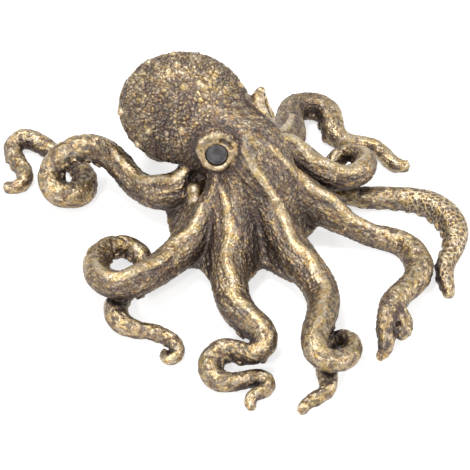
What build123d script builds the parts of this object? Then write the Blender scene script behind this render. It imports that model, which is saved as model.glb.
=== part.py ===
from build123d import *
from math import cos, radians, sin
import os

os.makedirs("parts", exist_ok=True)

# A small brass octopus, cast in pieces and brazed together: a body with its mantle, head and web,
# eight curled arms, a siphon tube and two dark eye inlays.
# X runs to the right, Y to the rear and Z up. The origin is on the table, under the middle of the figure.

# Driving dimensions, in millimetres
span = 80.0  # from the middle line of the left arm's outermost bend to that of the right arm's
mantle_length = 24.1
mantle_width = 19.2
head_width = 14.6
web_underside = 1.4  # the flat underside of the body, above the table
hollow_radius = 9.0  # the shallow hollow under the web
hollow_depth = 2.2
eye_rim_width = 6.4
eye_bore = 3.8
eye_bore_depth = 1.3
eye_lip = 0.7  # the thickness of the rounded lid round the eye
brow_width = 1.3  # the thicker fold over each eye
brow_set_back = 1.3  # how far the fold lies behind the front of the eye
eye_stalk = 4.0  # how far the turret of an eye reaches back into the head
inlay_crown = 0.35
inlay_gap = 0.06
siphon_width = 2.6
siphon_length = 4.1  # how deep the siphon reaches into the body
siphon_lobe_width = 2.0
siphon_gap = 0.05
filed_flat = 0.2  # what is filed off under an arm where it lies on the table
tenon_length = 1.2  # the peg on each arm that goes into the body
tenon_gap = 0.06
tenon_share = 0.5  # of the arm's own diameter
crest_width = 1.3  # the low crest along the top of each arm's root
crest_sink = 0.3  # how far the middle of the crest lies under the arm's own outline
half_turn = 180  # degrees
tip_turns = (30, 55, 75)  # degrees, the sections of a rounded tip
brow_turn = 130  # degrees round the eye that its fold covers
cut_overrun = 3.0  # how far a cut reaches past the surface it opens
steps_per_row = 3  # round sections of a tube to each row of its table
steps_per_span = 4  # sections that are drawn as one smooth span

# The middle line of each arm, from inside the body to the tip: across, back, up and diameter, as shares
# of the span. A height of zero stands for an arm that lies on the table there.
left_arm_shares = (
    (-0.035, 0.112, 0.138, 0.064),
    (-0.070, 0.108, 0.108, 0.076),
    (-0.103, 0.108, 0.087, 0.081),
    (-0.133, 0.108, 0.075, 0.077),
    (-0.167, 0.118, 0.062, 0.073),
    (-0.202, 0.148, 0.052, 0.064),
    (-0.230, 0.178, 0.060, 0.057),
    (-0.250, 0.204, 0.077, 0.059),
    (-0.276, 0.214, 0.096, 0.059),
    (-0.300, 0.217, 0.109, 0.058),
    (-0.324, 0.215, 0.113, 0.056),
    (-0.356, 0.213, 0.105, 0.052),
    (-0.384, 0.205, 0.086, 0.051),
    (-0.401, 0.188, 0.062, 0.053),
    (-0.401, 0.163, 0.045, 0.055),
    (-0.383, 0.142, 0.036, 0.058),
    (-0.354, 0.141, 0.032, 0.059),
    (-0.328, 0.151, 0.028, 0.057),
    (-0.320, 0.187, 0.000, 0.053),
    (-0.326, 0.224, 0.000, 0.047),
    (-0.344, 0.257, 0.000, 0.042),
    (-0.375, 0.279, 0.000, 0.041),
    (-0.411, 0.304, 0.000, 0.043),
    (-0.438, 0.328, 0.000, 0.047),
    (-0.464, 0.341, 0.000, 0.046),
    (-0.483, 0.331, 0.000, 0.045),
    (-0.495, 0.309, 0.000, 0.042),
    (-0.483, 0.275, 0.000, 0.038),
    (-0.466, 0.247, 0.000, 0.037),
    (-0.456, 0.216, 0.000, 0.038),
    (-0.463, 0.194, 0.000, 0.035),
    (-0.481, 0.188, 0.000, 0.031),
    (-0.496, 0.190, 0.000, 0.027),
)
left_front_arm_shares = (
    (-0.030, 0.060, 0.125, 0.062),
    (-0.054, 0.018, 0.092, 0.072),
    (-0.082, -0.027, 0.066, 0.080),
    (-0.109, -0.062, 0.060, 0.077),
    (-0.138, -0.098, 0.061, 0.071),
    (-0.170, -0.138, 0.073, 0.068),
    (-0.204, -0.172, 0.081, 0.066),
    (-0.239, -0.186, 0.083, 0.060),
    (-0.272, -0.165, 0.076, 0.060),
    (-0.294, -0.119, 0.066, 0.055),
    (-0.287, -0.066, 0.057, 0.050),
    (-0.267, -0.037, 0.048, 0.047),
    (-0.244, -0.019, 0.040, 0.045),
    (-0.218, -0.018, 0.033, 0.045),
    (-0.197, -0.031, 0.027, 0.044),
    (-0.184, -0.052, 0.000, 0.043),
    (-0.193, -0.091, 0.000, 0.042),
    (-0.216, -0.129, 0.000, 0.043),
    (-0.241, -0.164, 0.000, 0.049),
    (-0.247, -0.203, 0.000, 0.053),
    (-0.237, -0.231, 0.000, 0.050),
    (-0.214, -0.246, 0.000, 0.043),
    (-0.192, -0.249, 0.000, 0.036),
    (-0.166, -0.252, 0.000, 0.034),
    (-0.142, -0.262, 0.000, 0.033),
    (-0.121, -0.277, 0.000, 0.032),
    (-0.109, -0.298, 0.000, 0.030),
    (-0.112, -0.322, 0.000, 0.027),
    (-0.128, -0.330, 0.000, 0.025),
    (-0.140, -0.321, 0.000, 0.022),
    (-0.139, -0.305, 0.000, 0.018),
)
front_left_arm_shares = (
    (-0.004, 0.054, 0.138, 0.062),
    (-0.006, 0.004, 0.104, 0.068),
    (-0.005, -0.046, 0.078, 0.076),
    (-0.004, -0.090, 0.064, 0.082),
    (-0.004, -0.147, 0.057, 0.079),
    (0.001, -0.180, 0.050, 0.075),
    (0.010, -0.209, 0.047, 0.074),
    (0.027, -0.241, 0.049, 0.067),
    (0.053, -0.271, 0.054, 0.063),
    (0.073, -0.299, 0.055, 0.055),
    (0.075, -0.327, 0.052, 0.048),
    (0.055, -0.345, 0.045, 0.045),
    (0.027, -0.335, 0.037, 0.044),
    (0.001, -0.316, 0.030, 0.046),
    (-0.025, -0.317, 0.026, 0.048),
    (-0.046, -0.343, 0.000, 0.049),
    (-0.045, -0.378, 0.000, 0.049),
    (-0.027, -0.400, 0.000, 0.046),
    (0.001, -0.402, 0.000, 0.041),
    (0.030, -0.393, 0.000, 0.039),
    (0.058, -0.380, 0.000, 0.036),
    (0.079, -0.392, 0.000, 0.034),
    (0.078, -0.415, 0.000, 0.031),
    (0.056, -0.425, 0.000, 0.029),
    (0.042, -0.434, 0.000, 0.027),
    (0.040, -0.447, 0.000, 0.026),
    (0.042, -0.456, 0.000, 0.022),
)
front_right_arm_shares = (
    (0.046, 0.070, 0.150, 0.062),
    (0.072, 0.040, 0.122, 0.068),
    (0.100, -0.008, 0.096, 0.076),
    (0.126, -0.058, 0.077, 0.081),
    (0.147, -0.094, 0.067, 0.080),
    (0.167, -0.122, 0.062, 0.078),
    (0.186, -0.152, 0.056, 0.074),
    (0.196, -0.184, 0.053, 0.073),
    (0.197, -0.222, 0.059, 0.068),
    (0.190, -0.267, 0.070, 0.065),
    (0.177, -0.312, 0.080, 0.060),
    (0.172, -0.350, 0.084, 0.058),
    (0.179, -0.379, 0.081, 0.054),
    (0.199, -0.392, 0.074, 0.050),
    (0.223, -0.383, 0.064, 0.047),
    (0.246, -0.364, 0.054, 0.045),
    (0.258, -0.332, 0.045, 0.039),
    (0.255, -0.301, 0.037, 0.037),
    (0.240, -0.283, 0.030, 0.035),
    (0.220, -0.277, 0.023, 0.034),
    (0.202, -0.295, 0.000, 0.035),
    (0.196, -0.331, 0.000, 0.040),
    (0.199, -0.367, 0.000, 0.047),
    (0.203, -0.395, 0.000, 0.041),
    (0.203, -0.417, 0.000, 0.035),
    (0.190, -0.430, 0.000, 0.032),
    (0.172, -0.441, 0.000, 0.029),
    (0.156, -0.451, 0.000, 0.027),
    (0.148, -0.467, 0.000, 0.025),
)
right_front_arm_shares = (
    (0.062, 0.112, 0.165, 0.064),
    (0.094, 0.096, 0.140, 0.074),
    (0.125, 0.083, 0.120, 0.084),
    (0.157, 0.070, 0.102, 0.086),
    (0.190, 0.059, 0.083, 0.080),
    (0.222, 0.048, 0.066, 0.070),
    (0.252, 0.035, 0.050, 0.055),
    (0.281, 0.026, 0.037, 0.049),
    (0.310, 0.027, 0.000, 0.048),
    (0.340, 0.017, 0.000, 0.052),
    (0.367, 0.005, 0.000, 0.055),
    (0.388, -0.015, 0.000, 0.057),
    (0.402, -0.045, 0.000, 0.061),
    (0.410, -0.079, 0.029, 0.059),
    (0.400, -0.117, 0.034, 0.058),
    (0.377, -0.152, 0.041, 0.053),
    (0.355, -0.181, 0.047, 0.054),
    (0.344, -0.209, 0.049, 0.054),
    (0.335, -0.234, 0.046, 0.050),
    (0.328, -0.257, 0.041, 0.046),
    (0.326, -0.280, 0.035, 0.042),
    (0.328, -0.300, 0.028, 0.035),
    (0.324, -0.307, 0.000, 0.028),
    (0.315, -0.317, 0.000, 0.021),
)
right_front_curl_shares = (
    (0.338, -0.216, 0.047, 0.042),
    (0.352, -0.231, 0.046, 0.044),
    (0.364, -0.250, 0.043, 0.043),
    (0.366, -0.267, 0.039, 0.037),
    (0.361, -0.278, 0.035, 0.028),
)
right_arm_shares = (
    (0.046, 0.158, 0.182, 0.066),
    (0.087, 0.168, 0.160, 0.072),
    (0.129, 0.170, 0.138, 0.074),
    (0.162, 0.154, 0.124, 0.068),
    (0.195, 0.138, 0.110, 0.063),
    (0.226, 0.127, 0.100, 0.057),
    (0.257, 0.132, 0.095, 0.054),
    (0.285, 0.150, 0.091, 0.054),
    (0.302, 0.186, 0.086, 0.053),
    (0.292, 0.223, 0.080, 0.044),
    (0.268, 0.241, 0.073, 0.036),
    (0.244, 0.246, 0.062, 0.037),
    (0.228, 0.232, 0.051, 0.041),
    (0.225, 0.209, 0.040, 0.042),
    (0.231, 0.181, 0.030, 0.043),
    (0.250, 0.157, 0.024, 0.045),
    (0.279, 0.149, 0.000, 0.047),
    (0.310, 0.145, 0.000, 0.049),
    (0.341, 0.146, 0.000, 0.049),
    (0.385, 0.144, 0.000, 0.049),
    (0.419, 0.135, 0.000, 0.053),
    (0.452, 0.116, 0.000, 0.057),
    (0.478, 0.084, 0.000, 0.059),
    (0.494, 0.042, 0.000, 0.056),
    (0.490, 0.004, 0.000, 0.046),
    (0.476, -0.030, 0.000, 0.041),
    (0.461, -0.061, 0.000, 0.040),
    (0.462, -0.096, 0.000, 0.036),
    (0.466, -0.122, 0.000, 0.031),
    (0.468, -0.136, 0.000, 0.025),
)
rear_right_arm_shares = (
    (0.050, 0.170, 0.165, 0.068),
    (0.095, 0.198, 0.132, 0.072),
    (0.133, 0.244, 0.100, 0.071),
    (0.135, 0.315, 0.073, 0.066),
    (0.129, 0.379, 0.051, 0.062),
    (0.141, 0.426, 0.038, 0.059),
    (0.166, 0.444, 0.030, 0.056),
    (0.191, 0.447, 0.000, 0.056),
    (0.215, 0.437, 0.000, 0.055),
    (0.228, 0.409, 0.000, 0.055),
    (0.229, 0.378, 0.000, 0.054),
    (0.235, 0.349, 0.000, 0.050),
    (0.251, 0.334, 0.000, 0.043),
    (0.274, 0.330, 0.000, 0.036),
    (0.302, 0.328, 0.000, 0.035),
    (0.328, 0.315, 0.000, 0.037),
    (0.345, 0.290, 0.000, 0.037),
    (0.358, 0.267, 0.000, 0.036),
    (0.374, 0.255, 0.000, 0.033),
    (0.390, 0.260, 0.000, 0.027),
)
rear_left_arm_shares = (
    (0.010, 0.140, 0.140, 0.080),
    (0.009, 0.186, 0.100, 0.084),
    (-0.004, 0.236, 0.075, 0.077),
    (-0.029, 0.292, 0.052, 0.063),
    (-0.069, 0.346, 0.034, 0.052),
    (-0.121, 0.384, 0.000, 0.046),
    (-0.173, 0.368, 0.000, 0.040),
    (-0.193, 0.322, 0.000, 0.036),
    (-0.161, 0.287, 0.000, 0.033),
    (-0.120, 0.299, 0.000, 0.029),
    (-0.113, 0.331, 0.000, 0.022),
)


def laid(rows):
    """The rows of an arm, with each one that lies on the table set down so that its flat is filed off."""
    return [(x, y, z or width / 2 - filed_flat / span, width) for x, y, z, width in rows]


arms = {
    "arm_left": laid(left_arm_shares),
    "arm_left_front": laid(left_front_arm_shares),
    "arm_front_left": laid(front_left_arm_shares),
    "arm_front_right": laid(front_right_arm_shares),
    "arm_right_front": laid(right_front_arm_shares),
    "arm_right": laid(right_arm_shares),
    "arm_rear_right": laid(rear_right_arm_shares),
    "arm_rear_left": laid(rear_left_arm_shares),
}
# How many rows of each arm belong to the body, up to the flat at which the arm is brazed on, and how many
# more its crest runs along
body_row_counts = {
    "arm_left": 4,
    "arm_left_front": 4,
    "arm_front_left": 5,
    "arm_front_right": 6,
    "arm_right_front": 6,
    "arm_right": 5,
    "arm_rear_right": 3,
    "arm_rear_left": 3,
}
crest_row_count = 3

# The middle line of the head, from inside the mantle down into the web, in the same shares, with the
# diameter as a share of the head's width.
head_shares = (
    (-0.080, 0.200, 0.210, 0.900),
    (-0.047, 0.177, 0.212, 1.080),
    (0.003, 0.138, 0.212, 1.000),
    (0.041, 0.106, 0.195, 0.900),
    (0.069, 0.078, 0.155, 0.800),
    (0.087, 0.053, 0.106, 0.740),
    (0.095, 0.040, 0.070, 0.700),
)

# The outline of the web at its rim, as distances from the web's middle in shares of the span, and the
# direction of each point in degrees. The longer ones lie along the arms, the shorter ones between them.
web_outline_shares = (
    (357, 0.150),
    (14, 0.180),
    (27, 0.180),
    (57, 0.196),
    (73, 0.235),
    (92, 0.170),
    (106, 0.205),
    (141, 0.175),
    (163, 0.185),
    (192, 0.178),
    (217, 0.215),
    (230, 0.182),
    (257, 0.220),
    (282, 0.140),
    (305, 0.225),
    (337, 0.132),
)
# The web from its underside to the head: height and size as shares of the head's height and of the rim,
# then the middle of that level, in shares of the span.
web_level_shares = (
    (0.00, 0.92, 0.041, 0.055),
    (0.12, 1.00, 0.041, 0.055),
    (0.26, 0.82, 0.041, 0.058),
    (0.48, 0.60, 0.038, 0.070),
    (0.74, 0.40, 0.032, 0.092),
    (1.00, 0.26, 0.022, 0.112),
)
web_top_share = 0.225
web_place_shares = (0.041, 0.055)

mantle_place_shares = (-0.105, 0.237, 0.208)
mantle_turn = 151  # degrees from +X to the direction in which the mantle points
mantle_droop = 23  # degrees

eyes = {
    "eye_left": ((-0.030, 0.041, 0.248), (0.0, -0.92, 0.40)),
    "eye_right": ((0.082, 0.184, 0.256), (0.90, 0.10, 0.42)),
}
siphon_place_shares = (-0.081, 0.058, 0.117)
siphon_direction = (-0.35, -0.85, 0.38)
# The two lobes of the siphon, across, up and out from its middle in shares of its width
siphon_lobe_shares = ((-0.28, 0.30, -0.40), (0.04, -0.14, -0.16))
# The middle line and diameter of the hollow in which the siphon lies, in shares of the span
recess_shares = (
    (-0.078, 0.104, 0.142, 0.026),
    (-0.068, 0.086, 0.130, 0.038),
    (-0.058, 0.066, 0.117, 0.042),
    (-0.056, 0.048, 0.104, 0.030),
)
# The larger warts of the mantle and head, with their diameters, in shares of the span
wart_shares = (
    (-0.100, 0.178, 0.322, 0.020),
    (-0.068, 0.186, 0.326, 0.016),
    (-0.058, 0.178, 0.322, 0.019),
    (-0.116, 0.240, 0.330, 0.018),
    (-0.177, 0.142, 0.226, 0.017),
    (-0.103, 0.117, 0.252, 0.019),
    (-0.238, 0.220, 0.211, 0.022),
    (-0.201, 0.168, 0.164, 0.020),
    (0.018, 0.223, 0.284, 0.018),
    (-0.124, 0.291, 0.313, 0.018),
    (-0.179, 0.288, 0.293, 0.018),
)


def extended(rows, index):
    """A row of a table, or the one that would carry the line straight on past its first or last row."""
    if index < 0:
        return [2 * near - far for near, far in zip(rows[0], rows[1])]
    if index >= len(rows):
        return [2 * near - far for near, far in zip(rows[-1], rows[-2])]
    return rows[index]


def blended(rows, first, weights):
    """The weighted sum of four neighbouring rows."""
    four = [extended(rows, first + step) for step in (-1, 0, 1, 2)]
    return [sum(weight * row[column] for weight, row in zip(weights, four)) for column in range(4)]


def spot(rows, place):
    """The middle, direction and diameter of a smooth tube at a place counted in rows."""
    first = min(int(place), len(rows) - 2)
    t = place - first
    u = 1 - t
    weights = (u**3 / 6, (3 * t**3 - 6 * t**2 + 4) / 6, (3 * u**3 - 6 * u**2 + 4) / 6, t**3 / 6)
    slopes = (-(u**2) / 2, (3 * t**2 - 4 * t) / 2, (4 * u - 3 * u**2) / 2, t**2 / 2)
    x, y, z, width = blended(rows, first, weights)
    direction = Vector(*blended(rows, first, slopes)[:3]).normalized()
    return Vector(x, y, z) * span, direction, width


def lofted(sections):
    """One form through round sections, drawn in short smooth spans."""
    steps = len(sections) - 1
    spans = max(1, round(steps / steps_per_span))
    marks = [round(steps * mark / spans) for mark in range(spans + 1)]
    whole = Part()
    for first, last in zip(marks, marks[1:]):
        whole += loft(sections[first : last + 1])
    return whole


def tube(rows, start, end, width, rounded=False):
    """A round tube along part of a table, carried on without twist, with a rounded tip if wanted."""
    side = None
    sections = []
    steps = round((end - start) * steps_per_row)
    for step in range(steps + 1):
        middle, direction, share = spot(rows, start + (end - start) * step / steps)
        across = side if side else Vector(0, 0, 1).cross(direction)
        side = (across - direction * across.dot(direction)).normalized()
        radius = share * width / 2
        sections.append(Plane(middle, side, direction) * Circle(radius))
    if rounded:
        for turn in tip_turns:
            tip = middle + direction * radius * sin(radians(turn))
            sections.append(Plane(tip, side, direction) * Circle(radius * cos(radians(turn))))
    return lofted(sections)


def crest(rows, start, end, fading=False):
    """The low crest along the top of an arm between two of its rows, sinking into it at the end if wanted."""
    sections = []
    steps = round(end - start)
    for step in range(steps + 1):
        middle, direction, share = spot(rows, start + (end - start) * step / steps)
        upward = (Vector(0, 0, 1) - direction * direction.Z).normalized()
        sink = crest_sink + (crest_width / 2 if fading and step == steps else 0)
        top = middle + upward * (share * span / 2 - sink)
        sections.append(Plane(top, Vector(0, 0, 1).cross(direction), direction) * Circle(crest_width / 2))
    return lofted(sections)


def joint_plane(rows, place):
    """The flat at which an arm meets the body, facing along the arm."""
    middle, direction, share = spot(rows, place)
    return Plane(middle, Vector(0, 0, 1).cross(direction), direction), share * span


def table_cut():
    """All that would lie under the table's surface."""
    below = Align.CENTER, Align.CENTER, Align.MAX
    return Box(2 * span, 2 * span, cut_overrun, align=below)


def arm(rows, body_rows):
    """One arm from its flat joint to its tip, with its crest and the peg that goes into the body."""
    plane, diameter = joint_plane(rows, body_rows)
    inward = Align.CENTER, Align.CENTER, Align.MAX
    peg = plane * Cylinder(diameter * tenon_share / 2, tenon_length, align=inward)
    ridge = crest(rows, body_rows, body_rows + crest_row_count, fading=True)
    return tube(rows, body_rows, len(rows) - 1, span, rounded=True) + ridge + peg - table_cut()


def tip_fold():
    """The fold beside the tip of the right front arm, where its end is doubled back."""
    return tube(right_front_curl_shares, 0, len(right_front_curl_shares) - 1, span, rounded=True)


def mantle():
    """The egg-shaped sack behind the head."""
    half = mantle_length / 2
    outline = EllipticalCenterArc((0, 0), half, mantle_width / 2, start_angle=0, arc_size=half_turn)
    egg = revolve(make_face(outline + Line((-half, 0), (half, 0))), Axis.X)
    x, y, z = mantle_place_shares
    return Pos(x * span, y * span, z * span) * Rot(0, 0, mantle_turn) * Rot(0, mantle_droop, 0) * egg


def web():
    """The skirt between the arms, from its underside up into the head."""
    height = web_top_share * span - web_underside
    levels = []
    for rise, size, x, y in web_level_shares:
        middle = Vector(x * span, y * span, web_underside + rise * height)
        outline = [
            middle + Vector(cos(radians(angle)), sin(radians(angle)), 0) * reach * size * span
            for angle, reach in web_outline_shares
        ]
        levels.append(make_face(Spline(*outline, periodic=True)))
    return loft(levels)


def facing(shares, direction):
    """The plane at a place in shares of the span that looks along a direction."""
    x, y, z = shares
    out = Vector(*direction).normalized()
    return Plane(Vector(x, y, z) * span, Vector(0, 0, 1).cross(out), out)


def eye_turret(plane):
    """The raised ring of an eye, with its rounded lid and the fold above it."""
    inward = Align.CENTER, Align.CENTER, Align.MAX
    rim = eye_rim_width / 2 - eye_lip
    stalk = Cylinder(eye_rim_width / 2, eye_stalk, align=inward)
    fold = Torus(eye_rim_width / 2, brow_width / 2, major_angle=brow_turn)
    brow = Rot(0, 0, (half_turn - brow_turn) / 2) * fold
    lid = Pos(0, 0, -eye_lip) * Torus(rim, eye_lip)
    return plane * (Pos(0, 0, -eye_lip) * stalk + lid + Pos(0, 0, -brow_set_back) * brow)


def bored(plane, width, depth):
    """What a round hole takes away, from just outside its mouth to its floor."""
    outward = Align.CENTER, Align.CENTER, Align.MIN
    return plane * Pos(0, 0, -depth) * Cylinder(width / 2, depth + cut_overrun, align=outward)


def body():
    """The mantle, head, web and eyes in one casting, with a socket for each other piece."""
    whole = mantle() + tube(head_shares, 0, len(head_shares) - 1, head_width) + web()
    for name, rows in arms.items():
        whole += tube(rows, 0, body_row_counts[name], span)
        whole += crest(rows, 0, body_row_counts[name])
    for x, y, z, width in wart_shares:
        whole += Pos(x * span, y * span, z * span) * Sphere(width * span / 2)
    for place, direction in eyes.values():
        plane = facing(place, direction)
        whole = whole + eye_turret(plane) - bored(plane, eye_bore, eye_bore_depth)
    for name, rows in arms.items():
        plane, diameter = joint_plane(rows, body_row_counts[name])
        depth = tenon_length + tenon_gap
        whole -= bored(plane, diameter * tenon_share + 2 * tenon_gap, depth)
    plane = facing(siphon_place_shares, siphon_direction)
    whole -= tube(recess_shares, 0, len(recess_shares) - 1, span, rounded=True)
    whole -= bored(plane, siphon_width + 2 * siphon_gap, siphon_length) + siphon_lobes(plane, siphon_gap)
    x, y = web_place_shares
    ball_drop = web_underside + hollow_depth - hollow_radius
    return whole - Pos(x * span, y * span, ball_drop) * Sphere(hollow_radius)


def eye_inlay(plane):
    """A dark domed disc that fills the bottom of an eye's bore."""
    inward = Align.CENTER, Align.CENTER, Align.MIN
    radius = eye_bore / 2 - inlay_gap
    disc = Cylinder(radius, eye_bore_depth - 2 * inlay_crown, align=inward)
    dome_radius = (radius**2 + inlay_crown**2) / (2 * inlay_crown)
    top = eye_bore_depth - 2 * inlay_crown
    dome = Pos(0, 0, top + inlay_crown - dome_radius) * Sphere(dome_radius) & Cylinder(
        radius, eye_bore_depth + dome_radius, align=inward
    )
    return plane * Pos(0, 0, -eye_bore_depth) * (disc + dome)


def siphon_lobes(plane, room):
    """The two rounded lobes of the siphon, or the room that the body leaves for them."""
    lobes = Part()
    for across, up, out in siphon_lobe_shares:
        middle = Pos(across * siphon_width, up * siphon_width, out * siphon_width)
        lobes += plane * middle * Sphere(siphon_lobe_width / 2 + room)
    return lobes


def siphon():
    """The short lobed end of the tube through which the animal blows water, with the stub that holds it."""
    plane = facing(siphon_place_shares, siphon_direction)
    outward = Align.CENTER, Align.CENTER, Align.MIN
    stub = Cylinder(siphon_width / 2, siphon_length - siphon_lobe_width / 2, align=outward)
    return plane * Pos(0, 0, siphon_gap - siphon_length) * stub + siphon_lobes(plane, 0)


pieces = {"body": body(), "siphon": siphon()}
for name, (place, direction) in eyes.items():
    pieces[f"{name}_inlay"] = eye_inlay(facing(place, direction))
for name, rows in arms.items():
    pieces[name] = arm(rows, body_row_counts[name])
pieces["arm_right_front"] += tip_fold()
for name, solid in pieces.items():
    solid.label = name
    export_step(solid, f"parts/{name}.step")
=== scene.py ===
from math import cos, radians, sin

import bpy
import numpy as np
import openvdb
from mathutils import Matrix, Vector


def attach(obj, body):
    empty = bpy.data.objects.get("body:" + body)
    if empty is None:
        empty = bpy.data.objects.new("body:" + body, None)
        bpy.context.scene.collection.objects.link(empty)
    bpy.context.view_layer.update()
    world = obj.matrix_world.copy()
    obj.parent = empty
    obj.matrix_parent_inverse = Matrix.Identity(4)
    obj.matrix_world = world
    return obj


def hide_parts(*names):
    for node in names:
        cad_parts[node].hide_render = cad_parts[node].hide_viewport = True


# The looks of a small antique brass octopus. Each of its pieces is a field of distances on a fine grid,
# turned into a mesh, whose skin is then raised and lowered in code. Lengths in the tables named shares are
# shares of the span, and all others are in millimetres until a mesh is made.

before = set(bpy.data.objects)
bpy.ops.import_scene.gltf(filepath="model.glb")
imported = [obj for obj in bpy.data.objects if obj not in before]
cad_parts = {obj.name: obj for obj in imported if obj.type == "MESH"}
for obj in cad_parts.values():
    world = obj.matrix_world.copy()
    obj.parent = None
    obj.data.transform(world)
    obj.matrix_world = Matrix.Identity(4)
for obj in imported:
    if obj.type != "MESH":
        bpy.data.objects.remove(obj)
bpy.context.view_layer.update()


def thousandths(*rows):
    """A table of shares, from whole thousandths."""
    return np.array(rows) / 1000


# Driving dimensions, in millimetres
span = 80.0
cell = 0.16  # the grid on which the pieces are worked out
mantle_length = 24.1
mantle_width = 19.2
head_width = 14.6
web_underside = 1.4
eye_rim_width = 6.4
eye_bore = 3.8
filed_flat = 0.2
joint_overlap = 0.15  # how far the body and an arm run into each other at the joint

# The middle line of each arm, from inside the body to the tip: across, back, up and diameter, as
# thousandths of the span. A height of zero stands for an arm that lies on the table there.
left_arm_shares = thousandths(
    (-35, 112, 138, 64), (-70, 108, 108, 76), (-103, 108, 87, 81), (-133, 108, 75, 77),
    (-167, 118, 62, 73), (-202, 148, 52, 64), (-230, 178, 60, 57), (-250, 204, 77, 59),
    (-276, 214, 96, 59), (-300, 217, 109, 58), (-324, 215, 113, 56), (-356, 213, 105, 52),
    (-384, 205, 86, 51), (-401, 188, 62, 53), (-401, 163, 45, 55), (-383, 142, 36, 58),
    (-354, 141, 32, 59), (-328, 151, 28, 57), (-320, 187, 0, 53), (-326, 224, 0, 47),
    (-344, 257, 0, 42), (-375, 279, 0, 41), (-411, 304, 0, 43), (-438, 328, 0, 47), (-464, 341, 0, 46),
    (-483, 331, 0, 45), (-495, 309, 0, 42), (-483, 275, 0, 38), (-466, 247, 0, 37), (-456, 216, 0, 38),
    (-463, 194, 0, 35), (-481, 188, 0, 31), (-496, 190, 0, 27),
)
left_front_arm_shares = thousandths(
    (-30, 60, 125, 62), (-54, 18, 92, 72), (-82, -27, 66, 80), (-109, -62, 60, 77), (-138, -98, 61, 71),
    (-170, -138, 73, 68), (-204, -172, 81, 66), (-239, -186, 83, 60), (-272, -165, 76, 60),
    (-294, -119, 66, 55), (-287, -66, 57, 50), (-267, -37, 48, 47), (-244, -19, 40, 45),
    (-218, -18, 33, 45), (-197, -31, 27, 44), (-184, -52, 0, 43), (-193, -91, 0, 42),
    (-216, -129, 0, 43), (-241, -164, 0, 49), (-247, -203, 0, 53), (-237, -231, 0, 50),
    (-214, -246, 0, 43), (-192, -249, 0, 36), (-166, -252, 0, 34), (-142, -262, 0, 33),
    (-121, -277, 0, 32), (-109, -298, 0, 30), (-112, -322, 0, 27), (-128, -330, 0, 25),
    (-140, -321, 0, 22), (-139, -305, 0, 18),
)
front_left_arm_shares = thousandths(
    (-4, 54, 138, 62), (-6, 4, 104, 68), (-5, -46, 78, 76), (-4, -90, 64, 82), (-4, -147, 57, 79),
    (1, -180, 50, 75), (10, -209, 47, 74), (27, -241, 49, 67), (53, -271, 54, 63), (73, -299, 55, 55),
    (75, -327, 52, 48), (55, -345, 45, 45), (27, -335, 37, 44), (1, -316, 30, 46), (-25, -317, 26, 48),
    (-46, -343, 0, 49), (-45, -378, 0, 49), (-27, -400, 0, 46), (1, -402, 0, 41), (30, -393, 0, 39),
    (58, -380, 0, 36), (79, -392, 0, 34), (78, -415, 0, 31), (56, -425, 0, 29), (42, -434, 0, 27),
    (40, -447, 0, 26), (42, -456, 0, 22),
)
front_right_arm_shares = thousandths(
    (46, 70, 150, 62), (72, 40, 122, 68), (100, -8, 96, 76), (126, -58, 77, 81), (147, -94, 67, 80),
    (167, -122, 62, 78), (186, -152, 56, 74), (196, -184, 53, 73), (197, -222, 59, 68),
    (190, -267, 70, 65), (177, -312, 80, 60), (172, -350, 84, 58), (179, -379, 81, 54),
    (199, -392, 74, 50), (223, -383, 64, 47), (246, -364, 54, 45), (258, -332, 45, 39),
    (255, -301, 37, 37), (240, -283, 30, 35), (220, -277, 23, 34), (202, -295, 0, 35),
    (196, -331, 0, 40), (199, -367, 0, 47), (203, -395, 0, 41), (203, -417, 0, 35), (190, -430, 0, 32),
    (172, -441, 0, 29), (156, -451, 0, 27), (148, -467, 0, 25),
)
right_front_arm_shares = thousandths(
    (62, 112, 165, 64), (94, 96, 140, 74), (125, 83, 120, 84), (157, 70, 102, 86), (190, 59, 83, 80),
    (222, 48, 66, 70), (252, 35, 50, 55), (281, 26, 37, 49), (310, 27, 0, 48), (340, 17, 0, 52),
    (367, 5, 0, 55), (388, -15, 0, 57), (402, -45, 0, 61), (410, -79, 29, 59), (400, -117, 34, 58),
    (377, -152, 41, 53), (355, -181, 47, 54), (344, -209, 49, 54), (335, -234, 46, 50),
    (328, -257, 41, 46), (326, -280, 35, 42), (328, -300, 28, 35), (324, -307, 0, 28),
    (315, -317, 0, 21),
)
right_front_curl_shares = thousandths(
    (338, -216, 47, 42), (352, -231, 46, 44), (364, -250, 43, 43), (366, -267, 39, 37),
    (361, -278, 35, 28),
)
right_arm_shares = thousandths(
    (46, 158, 182, 66), (87, 168, 160, 72), (129, 170, 138, 74), (162, 154, 124, 68),
    (195, 138, 110, 63), (226, 127, 100, 57), (257, 132, 95, 54), (285, 150, 91, 54),
    (302, 186, 86, 53), (292, 223, 80, 44), (268, 241, 73, 36), (244, 246, 62, 37), (228, 232, 51, 41),
    (225, 209, 40, 42), (231, 181, 30, 43), (250, 157, 24, 45), (279, 149, 0, 47), (310, 145, 0, 49),
    (341, 146, 0, 49), (385, 144, 0, 49), (419, 135, 0, 53), (452, 116, 0, 57), (478, 84, 0, 59),
    (494, 42, 0, 56), (490, 4, 0, 46), (476, -30, 0, 41), (461, -61, 0, 40), (462, -96, 0, 36),
    (466, -122, 0, 31), (468, -136, 0, 25),
)
rear_right_arm_shares = thousandths(
    (50, 170, 165, 68), (95, 198, 132, 72), (133, 244, 100, 71), (135, 315, 73, 66), (129, 379, 51, 62),
    (141, 426, 38, 59), (166, 444, 30, 56), (191, 447, 0, 56), (215, 437, 0, 55), (228, 409, 0, 55),
    (229, 378, 0, 54), (235, 349, 0, 50), (251, 334, 0, 43), (274, 330, 0, 36), (302, 328, 0, 35),
    (328, 315, 0, 37), (345, 290, 0, 37), (358, 267, 0, 36), (374, 255, 0, 33), (390, 260, 0, 27),
)
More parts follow.
